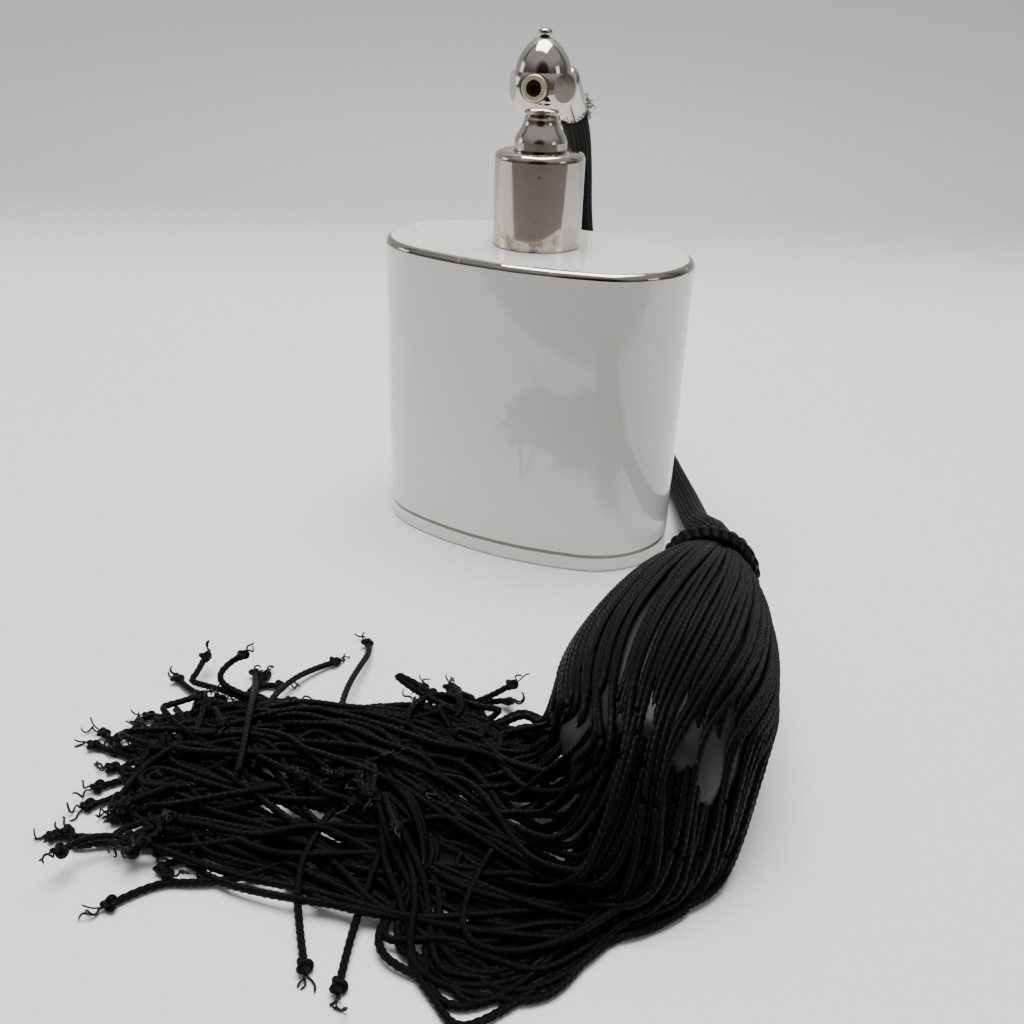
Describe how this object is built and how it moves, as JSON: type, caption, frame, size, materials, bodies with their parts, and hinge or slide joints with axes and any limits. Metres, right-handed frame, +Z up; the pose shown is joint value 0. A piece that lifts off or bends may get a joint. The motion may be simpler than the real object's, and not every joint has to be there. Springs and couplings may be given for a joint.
{
  "type": "bulb atomiser perfume bottle",
  "caption": "Oval porcelain scent bottle with a screw-on plated acorn spray head, braided hose and tasselled rubber squeeze bulb.",
  "frame": {"origin": "centre of the bottle's flat base", "axes": "+Z up through the neck and head, X along the bottle's width, front of the bottle faces -Y, bulb and tassel lie to the front right"},
  "size_m": [0.1272, 0.2366, 0.1236],
  "materials": {
    "porcelain": "glazed white porcelain with platinum lines",
    "plated_metal": "polished warm nickel plate, lightly tarnished",
    "brass": "turned brass, bare inside the head",
    "pale_brass": "pale worn plate round the nozzle",
    "black_seal": "black rubber",
    "black_rubber": "moulded black rubber, soft sheen",
    "clear_tube": "milky clear tube",
    "black_plastic": "moulded black plastic",
    "black_cord": "black twisted rayon cord",
    "steel_ball": "polished steel ball"
  },
  "bodies": {
    "bottle": {"porcelain_bottle": "porcelain", "neck_thread_sleeve": "brass"},
    "head": {"mouth_gasket": "black_seal", "head_seat": "brass", "pedestal_foot": "plated_metal", "siphon_tube": "brass", "dip_tube": "clear_tube", "acorn_body": "plated_metal", "acorn_cap": "plated_metal", "finial_button": "plated_metal", "nozzle_bezel": "pale_brass", "nozzle_tip": "brass", "jet_tube": "brass", "air_arm": "plated_metal", "hose_ferrule": "plated_metal", "hose_barb": "brass", "hose_sleeve": "black_cord", "hose_tube": "black_rubber", "bulb_cord_cover": "black_cord", "rubber_bulb": "black_rubber", "bulb_neck_fitting": "black_plastic", "neck_plait_ring": "black_cord", "intake_valve_body": "black_plastic", "valve_cage": "black_plastic", "tassel_bundle": "black_cord", "tassel_strand_01": "black_cord", "tassel_strand_02": "black_cord", "tassel_strand_03": "black_cord", "tassel_strand_04": "black_cord", "tassel_strand_05": "black_cord", "tassel_strand_06": "black_cord", "tassel_strand_07": "black_cord", "tassel_strand_08": "black_cord", "tassel_strand_09": "black_cord", "tassel_strand_10": "black_cord", "tassel_strand_11": "black_cord", "tassel_strand_12": "black_cord", "tassel_strand_13": "black_cord", "tassel_strand_14": "black_cord"},
    "collar": {"collar_shell": "plated_metal", "collar_thread_liner": "black_plastic"},
    "valve_ball": {"valve_ball": "steel_ball"}
  },
  "joints": [
    {"name": "head_lift", "type": "slide", "parent": "bottle", "child": "head", "axis": [0, 0, 1], "range_m": [0, 0.085]},
    {"name": "collar_turn", "type": "hinge", "parent": "head", "child": "collar", "pos_m": [0, 0, 0.0855], "axis": [0, 0, 1], "range_deg": [0, 1440]},
    {"name": "bulb_valve", "type": "slide", "parent": "head", "child": "valve_ball", "axis": [0.1271, -0.9919, 0], "range_m": [0, 0.0008]}
  ]
}
